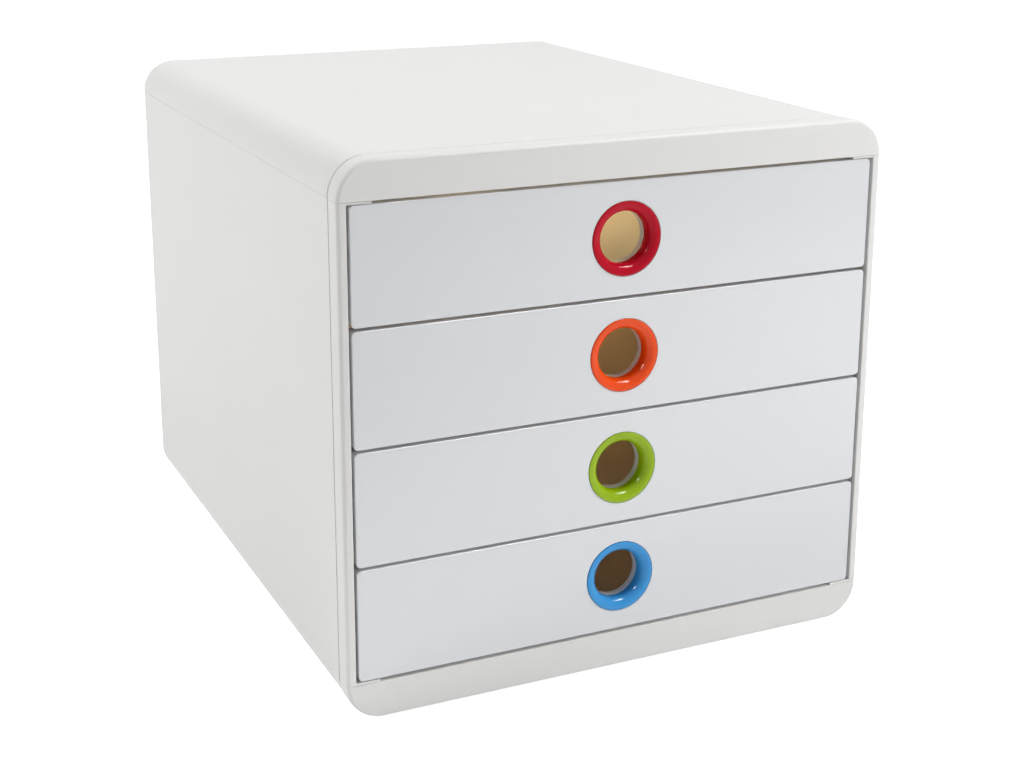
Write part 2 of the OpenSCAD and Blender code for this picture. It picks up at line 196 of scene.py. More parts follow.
class DrawerBoxStage(bpy.types.PropertyGroup):
    """Camera, floor and lights."""
    camera_place: bpy.props.FloatVectorProperty(
        name="Camera", description="Place of the camera", subtype="TRANSLATION",
        unit="LENGTH", default=(-0.3791, -0.8654, 0.4074))
    camera_aim: bpy.props.FloatVectorProperty(
        name="Aim", description="Direction in which the camera looks",
        subtype="DIRECTION", default=(0.4081, 0.8764, -0.2557))
    roll: bpy.props.FloatProperty(
        name="Roll", description="Roll of the camera", unit="ROTATION", default=0.0033)
    lens: bpy.props.FloatProperty(
        name="Lens", description="Focal length in millimetres", default=59.87, min=1.0)
    sensor: bpy.props.FloatProperty(
        name="Sensor", description="Width of the sensor in millimetres", default=36.0,
        min=1.0)
    shift: bpy.props.FloatProperty(
        name="Shift", description="Vertical shift of the lens",
        default=-0.1, min=-1.0, max=1.0)
    floor: colour("Floor", "Colour of the floor", (0.80, 0.80, 0.80))
    floor_lift: bpy.props.FloatProperty(
        name="Floor lift", description="White that the camera and reflections see on the floor",
        default=0.85, min=0.0)
    sky: bpy.props.FloatProperty(
        name="Sky light", description="Strength of the light from all round",
        default=0.26, min=0.0)
    key: power("Key lamp", "Power of the bright lamp above", 8.1)
    side: power("Side lamp", "Power of the large lamp at the left", 12.4)
    fill: power("Fill lamp", "Power of the lamp in front at the right", 3.1)
    glint: power("Glint", "Power of the larger lamp that shows only in reflections", 17.0)
    spark: power("Spark", "Power of the smaller lamp that shows only in reflections", 7.0)
    back: power("Back lamp", "Power of the large lamp behind", 6.0)
    bounce: power("Bounce", "Power of the light from the table before the drawers", 0.26)
    glow: power("Inner glow", "Power of the light in the top drawer", 0.19)


# ---------------------------------------------------------------- shader maths

class Socket:
    """An output of a node; arithmetic on it adds Math nodes."""

    def __init__(self, tree, out):
        self.tree = tree
        self.out = out

    def maths(self, operation, first, second):
        return self.tree.node("ShaderNodeMath", {"operation": operation},
                              {0: first, 1: second})

    def __add__(self, other):
        return self.maths("ADD", self, other)

    def __radd__(self, other):
        return self.maths("ADD", other, self)

    def __sub__(self, other):
        return self.maths("SUBTRACT", self, other)

    def __rsub__(self, other):
        return self.maths("SUBTRACT", other, self)

    def __mul__(self, other):
        return self.maths("MULTIPLY", self, other)

    def __rmul__(self, other):
        return self.maths("MULTIPLY", other, self)


class NodeTree:
    """A node tree that is filled through one method."""

    def __init__(self, owner):
        owner.use_nodes = True
        self.tree = owner.node_tree
        self.tree.nodes.clear()

    def node(self, kind, settings=None, sockets=None, out=0):
        """Adds a node, sets it up, fills its sockets and returns one output."""
        made = self.tree.nodes.new(kind)
        for name, value in (settings or {}).items():
            setattr(made, name, value)
        for name, value in (sockets or {}).items():
            if isinstance(value, Socket):
                self.tree.links.new(value.out, made.inputs[name])
            else:
                made.inputs[name].default_value = value
        return Socket(self, made.outputs[out]) if len(made.outputs) else None

    def noise(self, scale, detail):
        """Noise of that scale per metre, fixed to the piece."""
        place = self.node("ShaderNodeTexCoord", out="Object")
        return self.node("ShaderNodeTexNoise", {},
                         {"Vector": place, "Scale": scale, "Detail": detail})

    def blend(self, factor, first, second):
        """Mixes two colours."""
        return self.node("ShaderNodeMix", {"data_type": "RGBA"},
                         {0: factor, 6: first, 7: second}, out=2)

    def bump(self, distance, height, **below):
        """A normal raised by a height, over the normal below it if one is given."""
        return self.node("ShaderNodeBump", {}, {
            "Strength": 1.0, "Distance": distance, "Height": height, **below})

    def seen(self):
        """One on camera, reflection and transmission rays, and zero on those that light."""
        kinds = [self.node("ShaderNodeLightPath", out=f"Is {kind} Ray")
                 for kind in ("Camera", "Glossy", "Transmission")]
        return self.node("ShaderNodeMath", {"operation": "MINIMUM"},
                         {0: kinds[0] + kinds[1] + kinds[2], 1: 1.0})


# ---------------------------------------------------------------- materials

# scales of the noises, per metre
CLOUD_SCALE = 14.0
GLOSS_SCALE = 55.0
WAVE_SCALE = 22.0
PLASTIC_GRAIN = 1800.0
RUBBER_GRAIN = 1200.0

# how much the roughness varies, as a share of it
GLOSS_SPREAD = 0.25

WHITE = (1.0, 1.0, 1.0, 1.0)
RING_GLOSS = {"red": 0.1, "orange": 0.2, "green": 0.2, "blue": 0.2}


def shade(value, factor):
    """A colour with its brightness changed by a factor, and opaque."""
    return tuple(min(1.0, channel * factor) for channel in value) + (1.0,)


def plastic(name, value, rough, grain, cloud=0.015, gloss_level=0.5,
            grain_scale=PLASTIC_GRAIN, wave=0.0):
    """Moulded plastic: slight clouding in colour and gloss, and a fine grain.

    grain and wave are heights in metres, and cloud is a share of the brightness."""
    material = bpy.data.materials.new(name)
    tree = NodeTree(material)
    base = tree.blend(tree.noise(CLOUD_SCALE, detail=3.0), shade(value, 1.0 - cloud),
                      shade(value, 1.0 + cloud))
    gloss = rough + (tree.noise(GLOSS_SCALE, detail=3.0) - 0.5) * (rough * GLOSS_SPREAD)
    normal = tree.bump(grain, tree.noise(grain_scale, detail=1.0))
    if wave:
        normal = tree.bump(wave, tree.noise(WAVE_SCALE, detail=1.0), Normal=normal)
    shader = tree.node("ShaderNodeBsdfPrincipled", {},
                       {"Base Color": base, "Roughness": gloss, "Normal": normal,
                        "IOR": 1.5, "Specular IOR Level": gloss_level})
    tree.node("ShaderNodeOutputMaterial", {}, {"Surface": shader})
    return material


def casing_plastic(colours):
    return plastic("satin_warm_white", colours.casing, rough=0.46, grain=0.012 * MM,
                   gloss_level=0.25)


def front_plastic(colours):
    return plastic("gloss_cool_white", colours.front, rough=0.16, grain=0.001 * MM,
                   cloud=0.008, wave=0.03 * MM)


def tray_plastic(colours):
    return plastic("satin_ivory", colours.tray, rough=0.50, grain=0.010 * MM)


def foot_rubber(colours):
    return plastic("soft_grey_rubber", colours.foot, rough=0.85, grain=0.03 * MM,
                   grain_scale=RUBBER_GRAIN)


def ring_plastic(colours, name):
    return plastic(f"gloss_{name}", getattr(colours, name), rough=0.07, grain=0.001 * MM,
                   cloud=0.02, gloss_level=RING_GLOSS[name])


# ---------------------------------------------------------------- mesh helpers

def outline(bm, corners, radii, steps):
    """A closed wire through the corners, each rounded by its own radius; its edges."""
    known = set(bm.edges)
    verts = [bm.verts.new(corner) for corner in corners]
    for first, second in zip(verts, verts[1:] + verts[:1]):
        bm.edges.new((first, second))
    for radius in sorted({r for r in radii if r > 0.0}):
        bmesh.ops.bevel(bm, geom=[v for v, r in zip(verts, radii) if r == radius],
                        offset=radius, offset_type="OFFSET", segments=steps,
                        profile=0.5, affect="VERTICES", material=-1)
    return [edge for edge in bm.edges if edge not in known]


def section(bm, points, steps):
    """A closed wire from points of radius, depth and corner radius; its edges."""
    return outline(bm, [(x, y, 0.0) for x, y, radius in points],
                   [radius for x, y, radius in points], steps)


def circle(bm, centre, radius):
    """A closed wire circle that faces along Y; its edges."""
    place = Matrix.Translation(centre) @ Matrix.Rotation(pi / 2.0, 4, "X")
    made = bmesh.ops.create_circle(bm, radius=radius, segments=HOLE_STEPS, matrix=place)
    return list({edge for vert in made["verts"] for edge in vert.link_edges})


def spin(bm, edges, axis, steps):
    """Turns the edges once round an axis through the origin."""
    bmesh.ops.spin(bm, geom=edges, cent=(0.0, 0.0, 0.0), axis=axis, angle=2.0 * pi,
                   steps=steps, use_merge=True)


def fill(bm, edges):
    """Fills one closed wire with a face."""
    return bmesh.ops.contextual_create(bm, geom=edges)["faces"]


def fill_between(bm, outer, inner):
    """Fills the space between two closed wires with faces, and returns them."""
    made = bmesh.ops.triangle_fill(bm, use_beauty=True, edges=outer + inner)["geom"]
    return [g for g in made if isinstance(g, bmesh.types.BMFace)]


def open_face(bm, face):
    """Takes a face out and returns the edges round it."""
    border = list(face.edges)
    bmesh.ops.delete(bm, geom=[face], context="FACES_ONLY")
    return border


def largest(faces):
    """The face with the largest area."""
    return max(faces, key=lambda face: face.calc_area())


def push(bm, faces, way):
    """Extrudes the faces and returns the moved ones."""
    attached = any(other not in faces for face in faces for edge in face.edges
                   for other in edge.link_faces)
    geom = bmesh.ops.extrude_face_region(bm, geom=faces)["geom"]
    if attached:
        bmesh.ops.delete(bm, geom=faces, context="FACES")
    bmesh.ops.translate(bm, vec=way,
                        verts=[g for g in geom if isinstance(g, bmesh.types.BMVert)])
    return [g for g in geom if isinstance(g, bmesh.types.BMFace)]


def soften(bm, test, radius, steps=3):
    """Rounds the sharp edges whose middle passes the test."""
    edges = [edge for edge in bm.edges
             if edge.is_manifold and edge.calc_face_angle(0.0) > SHARP
             and test((edge.verts[0].co + edge.verts[1].co) / 2.0)]
    bmesh.ops.bevel(bm, geom=edges, offset=radius, offset_type="OFFSET", segments=steps,
                    profile=0.5, affect="EDGES", material=-1, clamp_overlap=True)


def inset(bm, faces, thickness, depth=0.0):
    """Insets the faces evenly, and moves them out of the surface by the depth."""
    bmesh.ops.inset_region(bm, faces=faces, thickness=thickness, depth=depth,
                           use_even_offset=True, use_boundary=True)


def block(bm, low, high, radius=0.0, steps=2):
    """A box between two corners, given in any order, with its edges rounded."""
    ends = [sorted(pair) for pair in zip(low, high)]
    size = [high_end - low_end for low_end, high_end in ends]
    middle = [(low_end + high_end) / 2.0 for low_end, high_end in ends]
    place = Matrix.Translation(middle) @ Matrix.Diagonal((*size, 1.0))
    made = bmesh.ops.create_cube(bm, size=1.0, matrix=place)
    if radius:
        edges = list({edge for vert in made["verts"] for edge in vert.link_edges})
        bmesh.ops.bevel(bm, geom=edges, offset=radius, offset_type="OFFSET",
                        segments=steps, profile=0.5, affect="EDGES", material=-1)


def both_blocks(bm, low, high, radius):
    """A box between two corners, and its mirror image in X."""
    flip = Vector((-1.0, 1.0, 1.0))
    block(bm, Vector(low), Vector(high), radius)
    block(bm, Vector(low) * flip, Vector(high) * flip, radius)


def finish_piece(bm, name, body, nodes, material):
    """Turns a bmesh into a piece that stands for CAD nodes and rides on their body."""
    bmesh.ops.remove_doubles(bm, verts=bm.verts, dist=TINY)
    bmesh.ops.recalc_face_normals(bm, faces=bm.faces)
    mesh = bpy.data.meshes.new(name)
    bm.to_mesh(mesh)
    bm.free()
    for polygon in mesh.polygons:
        polygon.use_smooth = True
    mesh.set_sharp_from_angle(angle=SMOOTH)
    mesh.materials.append(material)
    piece = bpy.data.objects.new(name, mesh)
    bpy.context.scene.collection.objects.link(piece)
    weighted = piece.modifiers.new("flat_faces", "WEIGHTED_NORMAL")
    weighted.keep_sharp = True
    weighted.weight = 100
    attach(piece, body)
    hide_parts(*nodes)


# ---------------------------------------------------------------- casing

# where ribs and catches sit
LONG_RIBS = (-0.5, 0.0, 0.5)       # shares of the inner half width
CROSS_RIBS = (-0.25, 0.25)         # shares of the depth
CATCHES = (0.15, 0.5, 0.85)        # shares of a side panel's height
STOP_RIBS = (-0.72, 0.0, 0.72)     # shares of a tray's half width

# how far below the band's face a side panel's edges are rounded at a seam,
# as a share of the wall's thickness
SEAM_SHARE = 0.6

# how many slide clearances lie between a tray's front wall and its runners
RUNNER_CLEARANCES = 1.5

# radii of a foot's recess at its mouth and floor, as shares of the foot's radius
RECESS_MOUTH = 0.55
RECESS_FLOOR = 0.5


class CasingPlan:
    """Places of the casing's planes, read from the frame."""

    def __init__(self, sizes):
        low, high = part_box("base_shell")
        self.half = high.x
        self.front, self.rear = low.y, high.y
        self.bottom, self.low_seam = low.z, high.z
        low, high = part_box("top_cover")
        self.high_seam, self.top = low.z, high.z
        self.inner = self.half - sizes.band_proud - sizes.wall
        self.column = self.half - sizes.column
        self.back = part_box("back_panel")[1].y - sizes.back
        self.band_end = self.front + sizes.band
        self.groove_end = self.band_end + sizes.groove


def end_skin(bm, plan, sizes, seam_edge):
    """The arched skin of the upper shell, with its front bar, band and groove."""
    below = plan.high_seam - plan.half
    arch_x, arch_z = plan.half - sizes.corner, plan.top - sizes.corner
    faces = fill(bm, outline(
        bm, [(-plan.half, plan.front, below), (plan.half, plan.front, below),
             (plan.half, plan.front, plan.top), (-plan.half, plan.front, plan.top)],
        [0.0, 0.0, sizes.corner, sizes.corner], steps=24))
    faces = push(bm, faces, (0.0, sizes.band, 0.0))
    bmesh.ops.recalc_face_normals(bm, faces=bm.faces)
    soften(bm, lambda co: co.y < plan.front + TINY, sizes.front_edge, steps=6)
    inset(bm, faces, sizes.band_proud)
    faces = push(bm, faces, (0.0, sizes.groove, 0.0))
    faces = push(bm, faces, (0.0, plan.rear - plan.groove_end, 0.0))
    bmesh.ops.recalc_face_normals(bm, faces=bm.faces)
    inset(bm, [face for face in bm.faces if abs(face.normal.y) < ACROSS
               and plan.band_end < face.calc_center_median().y < plan.groove_end],
          0.0, -sizes.groove_depth)
    soften(bm, lambda co: abs(co.y - plan.band_end) < TINY and (
        abs(co.x) > plan.half - TINY or co.z > plan.top - TINY
        or Vector((abs(co.x) - arch_x, co.z - arch_z)).length > sizes.corner - TINY),
        sizes.step_edge, steps=2)
    soften(bm, lambda co: co.y > plan.rear - TINY, sizes.rear_edge, steps=5)
    # hollow it out from the rear, and cut it off at the seam
    faces = [max(bm.faces, key=lambda face: face.calc_center_median().y)]
    inset(bm, faces, sizes.wall - sizes.rear_edge)
    push(bm, faces, (0.0, plan.front + sizes.wall - plan.rear, 0.0))
    cut = bmesh.ops.bisect_plane(
        bm, geom=bm.verts[:] + bm.edges[:] + bm.faces[:], dist=TINY,
        plane_co=(0.0, 0.0, plan.high_seam), plane_no=(0.0, 0.0, 1.0), clear_inner=True)
    fill(bm, [g for g in cut["geom_cut"] if isinstance(g, bmesh.types.BMEdge)])
    bmesh.ops.recalc_face_normals(bm, faces=bm.faces)
    soften(bm, lambda co: co.z < plan.high_seam + TINY and (
        co.y < plan.front + sizes.wall / 2.0 or abs(co.x) > plan.inner + sizes.wall / 2.0),
        seam_edge)


def end_shell(bm, plan, sizes, seam_edge):
    """The upper shell: its skin, a return lip, ribs and the ledge of the back panel."""
    end_skin(bm, plan, sizes, seam_edge)
    block(bm, (-plan.inner, plan.front + sizes.wall / 2.0, plan.high_seam + sizes.lip_lift),
          (plan.inner, plan.front + sizes.lip_depth, plan.high_seam + sizes.lip), SMALL_EDGE)
    roof = plan.top - sizes.band_proud - sizes.wall
    root = roof + sizes.wall / 2.0
    for share in LONG_RIBS:
        middle = share * plan.inner
        block(bm, (middle - sizes.rib / 2.0, plan.front + sizes.wall, roof - sizes.rib_height),
              (middle + sizes.rib / 2.0, plan.back - sizes.ledge, root))
    flat = plan.inner - sizes.corner + sizes.band_proud + sizes.wall
    for share in CROSS_RIBS:
        middle = share * (plan.rear - plan.front)
        block(bm, (-flat, middle - sizes.rib / 2.0, roof - sizes.rib_height),
              (flat, middle + sizes.rib / 2.0, root))
    block(bm, (-flat, plan.back - sizes.ledge, roof - sizes.ledge), (flat, plan.back, root))


def side_panel(bm, plan, sizes, drawers):
    """The right side panel: wall and column as one section, with tabs, runners and stops."""
    low, high = plan.low_seam + sizes.seam_gap, plan.high_seam - sizes.seam_gap
    wall = plan.half - sizes.band_proud
    groove = wall - sizes.groove_depth
    corners = ((plan.column, plan.front, sizes.column_edge),
               (plan.half, plan.front, sizes.front_edge),
               (plan.half, plan.band_end, sizes.step_edge), (groove, plan.band_end, 0.0),
               (groove, plan.groove_end, 0.0), (wall, plan.groove_end, 0.0),
               (wall, plan.rear, sizes.rear_edge), (plan.inner, plan.rear, 0.0),
               (plan.inner, plan.band_end, 0.0), (plan.column, plan.band_end, 0.0))
    edges = outline(bm, [(x, y, low) for x, y, radius in corners],
                    [radius for x, y, radius in corners], steps=6)
    push(bm, fill(bm, edges), (0.0, 0.0, high - low))
    bmesh.ops.recalc_face_normals(bm, faces=bm.faces)
    outside = plan.half - SEAM_SHARE * sizes.wall
    for level, radius in ((low, sizes.lower_edge), (high, sizes.upper_edge)):
        soften(bm, lambda co: abs(co.z - level) < TINY and (
            co.x > outside or co.y < plan.front + sizes.front_edge), radius)
    # corner tabs that close the gaps beside the bars
    for level, up in ((plan.low_seam, 1.0), (plan.high_seam, -1.0)):
        block(bm, (plan.column - sizes.tab, plan.front + sizes.hair, level + up * sizes.hair),
              (plan.column + sizes.column / 2.0, plan.band_end - sizes.hair,
               level + up * sizes.tab_height), FINE_EDGE)
    # ledge in front of the back panel, and catches behind it
    anchor = plan.inner + sizes.wall / 2.0
    block(bm, (plan.inner - sizes.ledge, plan.back - sizes.ledge, low + sizes.hair),
          (anchor, plan.back, high - sizes.hair))
    behind = plan.back + sizes.back
    for share in CATCHES:
        middle = plan.low_seam + share * (plan.high_seam - plan.low_seam)
        block(bm, (plan.inner - sizes.catch_reach, behind, middle - sizes.catch_length / 2.0),
              (anchor, behind + sizes.catch_depth, middle + sizes.catch_length / 2.0))
    for number in DRAWERS:
        runner(bm, plan, sizes, drawers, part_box(f"drawer_front_{number}"))


def runner(bm, plan, sizes, drawers, face):
    """Runner, keeper and pull-out stop of one drawer, on the right side."""
    side = plan.inner - drawers.tray_side
    flange_top = face[1].z - drawers.tray_drop
    top = flange_top - drawers.flange - drawers.run_gap
    start = (face[0].y + drawers.depth + drawers.tray
             + RUNNER_CLEARANCES * drawers.slide_gap)
    anchor = plan.inner + sizes.wall / 2.0
    reach = face[1].x - drawers.slide_gap
    stop = start + drawers.grip - drawers.tooth - drawers.slide_gap
    block(bm, (side + drawers.rail_gap, start, top - drawers.rail),
          (anchor, plan.back - sizes.ledge, top), THIN_EDGE)
    block(bm, (reach - drawers.keeper_lap, start, flange_top + drawers.run_gap),
          (anchor, start + drawers.keeper, flange_top + drawers.run_gap + drawers.rail),
          THIN_EDGE)
    block(bm, (side + drawers.slide_gap, stop - drawers.nib, top - drawers.rail),
          (side + drawers.slide_gap + drawers.rail_gap, stop, top), FINE_EDGE)


def back_panel(bm, plan, sizes, drawers):
    """The back panel: a rounded plate with ribs that stop the drawers."""
    low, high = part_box("back_panel")
    corner = sizes.corner - sizes.band_proud - sizes.wall
    edges = outline(bm, [(x, plan.back, z) for x, z in
                         ((low.x, low.z), (high.x, low.z), (high.x, high.z),
                          (low.x, high.z))], [corner] * 4, steps=12)
    push(bm, fill(bm, edges), (0.0, sizes.back, 0.0))
    bmesh.ops.recalc_face_normals(bm, faces=bm.faces)
    soften(bm, lambda co: True, SMALL_EDGE)
    side = plan.inner - drawers.tray_side
    for share in STOP_RIBS:
        block(bm, (share * side - sizes.rib, plan.back - sizes.back_rib, plan.low_seam),
              (share * side + sizes.rib, plan.back + sizes.back / 2.0, plan.high_seam),
              THIN_EDGE)


class DRAWERBOX_OT_casing(bpy.types.Operator):
    """Model the cover, the base, the side panels and the back panel"""
    bl_idname = "drawer_box.casing"
    bl_label = "Casing"

    def execute(self, context):
        sizes = context.scene.drawer_box_casing
        drawers = context.scene.drawer_box_drawers
        plan = CasingPlan(sizes)
        material = casing_plastic(context.scene.drawer_box_colours)
        middle = (plan.top + plan.bottom) / 2.0
        for name, node, flip, edge in (("lid", "top_cover", 1.0, sizes.lower_edge),
                                       ("base", "base_shell", -1.0, sizes.upper_edge)):
            bm = bmesh.new()
            end_shell(bm, plan, sizes, edge)
            bmesh.ops.scale(bm, vec=(1.0, 1.0, flip), verts=bm.verts,
                            space=Matrix.Translation((0.0, 0.0, -middle)))
            finish_piece(bm, name, "casing", [node], material)
        for name, node, flip in (("right_wall", "right_side_panel", 1.0),
                                 ("left_wall", "left_side_panel", -1.0)):
            bm = bmesh.new()
            side_panel(bm, plan, sizes, drawers)
            bmesh.ops.scale(bm, vec=(flip, 1.0, 1.0), verts=bm.verts)
            finish_piece(bm, name, "casing", [node], material)
        bm = bmesh.new()
        back_panel(bm, plan, sizes, drawers)
        finish_piece(bm, "rear_wall", "casing", ["back_panel"], material)
        return {"FINISHED"}


class DRAWERBOX_OT_feet(bpy.types.Operator):
    """Spin the rubber feet"""
    bl_idname = "drawer_box.feet"
    bl_label = "Feet"

    def execute(self, context):
        sizes = context.scene.drawer_box_casing
        material = foot_rubber(context.scene.drawer_box_colours)
        for place in ("front_left", "front_right", "rear_left", "rear_right"):
            node = f"foot_pad_{place}"
            low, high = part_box(node)
            centre, radius = (low + high) / 2.0, (high.x - low.x) / 2.0
            mouth, root = radius * RECESS_MOUTH, radius * RECESS_FLOOR
            hollow = low.z + sizes.foot_recess
            bm = bmesh.new()
            outline(bm, [(0.0, 0.0, high.z), (radius, 0.0, high.z), (radius, 0.0, low.z),
                         (mouth, 0.0, low.z), (root, 0.0, hollow), (0.0, 0.0, hollow)],
                    [0.0, FINE_EDGE, sizes.foot_edge, 0.0, 0.0, 0.0], steps=5)
            axis = [edge for edge in bm.edges if all(v.co.x < TINY for v in edge.verts)]
            bmesh.ops.delete(bm, geom=axis, context="EDGES")
            spin(bm, bm.edges[:], (0.0, 0.0, 1.0), FOOT_STEPS)
            bmesh.ops.translate(bm, vec=(centre.x, centre.y, 0.0), verts=bm.verts)
            finish_piece(bm, f"foot_{place}", "casing", [node], material)
        return {"FINISHED"}


# ---------------------------------------------------------------- drawers

# where ribs and hooks sit behind a drawer front, as shares of its half width
FRONT_RIBS = (-0.68, -0.5, -0.22, 0.22, 0.5, 0.68)
HOOKS = (-0.86, -0.36, 0.36, 0.86)


class DRAWERBOX_OT_trays(bpy.types.Operator):
    """Model the drawer trays with their flanges and front walls"""
    bl_idname = "drawer_box.trays"
    bl_label = "Trays"

    def execute(self, context):
        sizes = context.scene.drawer_box_drawers
        material = tray_plastic(context.scene.drawer_box_colours)
        plan = CasingPlan(context.scene.drawer_box_casing)
        side = plan.inner - sizes.tray_side
        for number in DRAWERS:
            node = f"drawer_tray_{number}"
            tray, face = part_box(node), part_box(f"drawer_front_{number}")
            rim = face[1].z - sizes.tray_drop
            bm = bmesh.new()
            self.tub(bm, sizes, side, rim, tray, face)
            self.front_wall(bm, sizes, tray, face)
            self.flanges(bm, sizes, side, rim, tray, face)
            finish_piece(bm, f"tray_{number}", f"drawer_{number}", [node],
                         material)
        return {"FINISHED"}

    def window(self, bm, sizes, face, depth):
        """The wire of the hole for a ring's sleeve, at a depth; its edges."""
        radius = sizes.hole + sizes.ring_wall + sizes.sleeve_wall + 2.0 * sizes.seat_gap
        return circle(bm, (0.0, depth, (face[0].z + face[1].z) / 2.0), radius)

    def tub(self, bm, sizes, side, rim, tray, face):
        """A box with rounded corners, open at the top, with the sleeve's hole in its front."""
        floor = face[0].z + sizes.tray_lift
        front = tray[0].y + sizes.setback
        block(bm, (-side, front, floor), (side, tray[1].y, rim))
        soften(bm, lambda co: floor + TINY < co.z < rim - TINY, sizes.tray_corner, steps=8)
        soften(bm, lambda co: co.z < floor + TINY, sizes.tray_edge, steps=6)
        bm.normal_update()
        bmesh.ops.delete(bm, geom=[f for f in bm.faces if f.normal.z > FACING],
                         context="FACES_ONLY")
        border = open_face(bm, largest(f for f in bm.faces if f.normal.y < -FACING))
        fill_between(bm, border, self.window(bm, sizes, face, front))
        bmesh.ops.recalc_face_normals(bm, faces=bm.faces)
        underside = min(bm.faces, key=lambda f: f.calc_center_median().z)
        if underside.normal.z > 0.0:
            bmesh.ops.reverse_faces(bm, faces=bm.faces)
        bmesh.ops.solidify(bm, geom=bm.faces[:], thickness=sizes.tray)
        soften(bm, lambda co: co.z > rim - TINY, sizes.rim_edge)

    def front_wall(self, bm, sizes, tray, face):
        """The wall that carries the drawer front."""
        low, high = tray
        bottom, top = face[0].z + sizes.wall_inset, face[1].z - sizes.wall_inset
        edges = outline(bm, [(low.x, low.y, bottom), (high.x, low.y, bottom),
                             (high.x, low.y, top), (low.x, low.y, top)],
                        [sizes.corner - sizes.wall_inset] * 4, steps=5)
        plate = fill_between(bm, edges, self.window(bm, sizes, face, low.y))
        push(bm, plate, (0.0, sizes.tray, 0.0))

    def flanges(self, bm, sizes, side, rim, tray, face):
        """The side flanges, with the teeth that meet the pull-out stops."""
        root = side - sizes.tray / 2.0
        rear = tray[1].y - sizes.tray_corner
        both_blocks(bm, (root, tray[0].y + sizes.tray / 2.0, rim - sizes.flange),
                    (face[1].x - sizes.slide_gap, rear, rim), SMALL_EDGE)
        both_blocks(bm, (root, rear - sizes.tooth, rim - sizes.flange - sizes.tooth_height),
                    (side + sizes.rail_gap - sizes.slide_gap, rear - sizes.tooth_inset,
                     rim - sizes.flange / 2.0), SMALL_EDGE)


def seat_profile(bm, sizes):
    """Section through a ring's seat and the white sleeve behind it, as an open chain.

    X is the radius and Y the depth behind the drawer's face."""
    seat = sizes.hole + sizes.ring_wall + sizes.seat_gap
    flare = sizes.ring_outer - sizes.lip_width - sizes.hole
    shoulder = sizes.ring_wall - sizes.lip_proud + sizes.seat_gap
    tip = flare - sizes.lip_proud + sizes.spigot + sizes.seat_gap
    end = tip - sizes.seat_gap + sizes.sleeve
    mouth = sizes.ring_outer + sizes.lip_gap
    sleeve = seat + sizes.sleeve_wall
    round_off = flare - sizes.ring_wall - sizes.seat_gap
    bend = seat + round_off
    edges = section(bm, (
        (mouth, 0.0, 0.0), (mouth, sizes.lip_sunk, 0.0), (bend, sizes.lip_sunk, 0.0),
        (bend, shoulder, 0.0), (seat, shoulder, round_off), (seat, tip, 0.0),
        (sizes.hole, tip, 0.0), (sizes.hole, end, SMALL_EDGE), (sleeve, end, SMALL_EDGE),
        (sleeve, sizes.skin, 0.0)), steps=5)
    closing = [edge for edge in edges
               if {round(v.co.x / TINY) for v in edge.verts}
               == {round(mouth / TINY), round(sleeve / TINY)}]
    bmesh.ops.delete(bm, geom=closing, context="EDGES")
    return bm.edges[:]


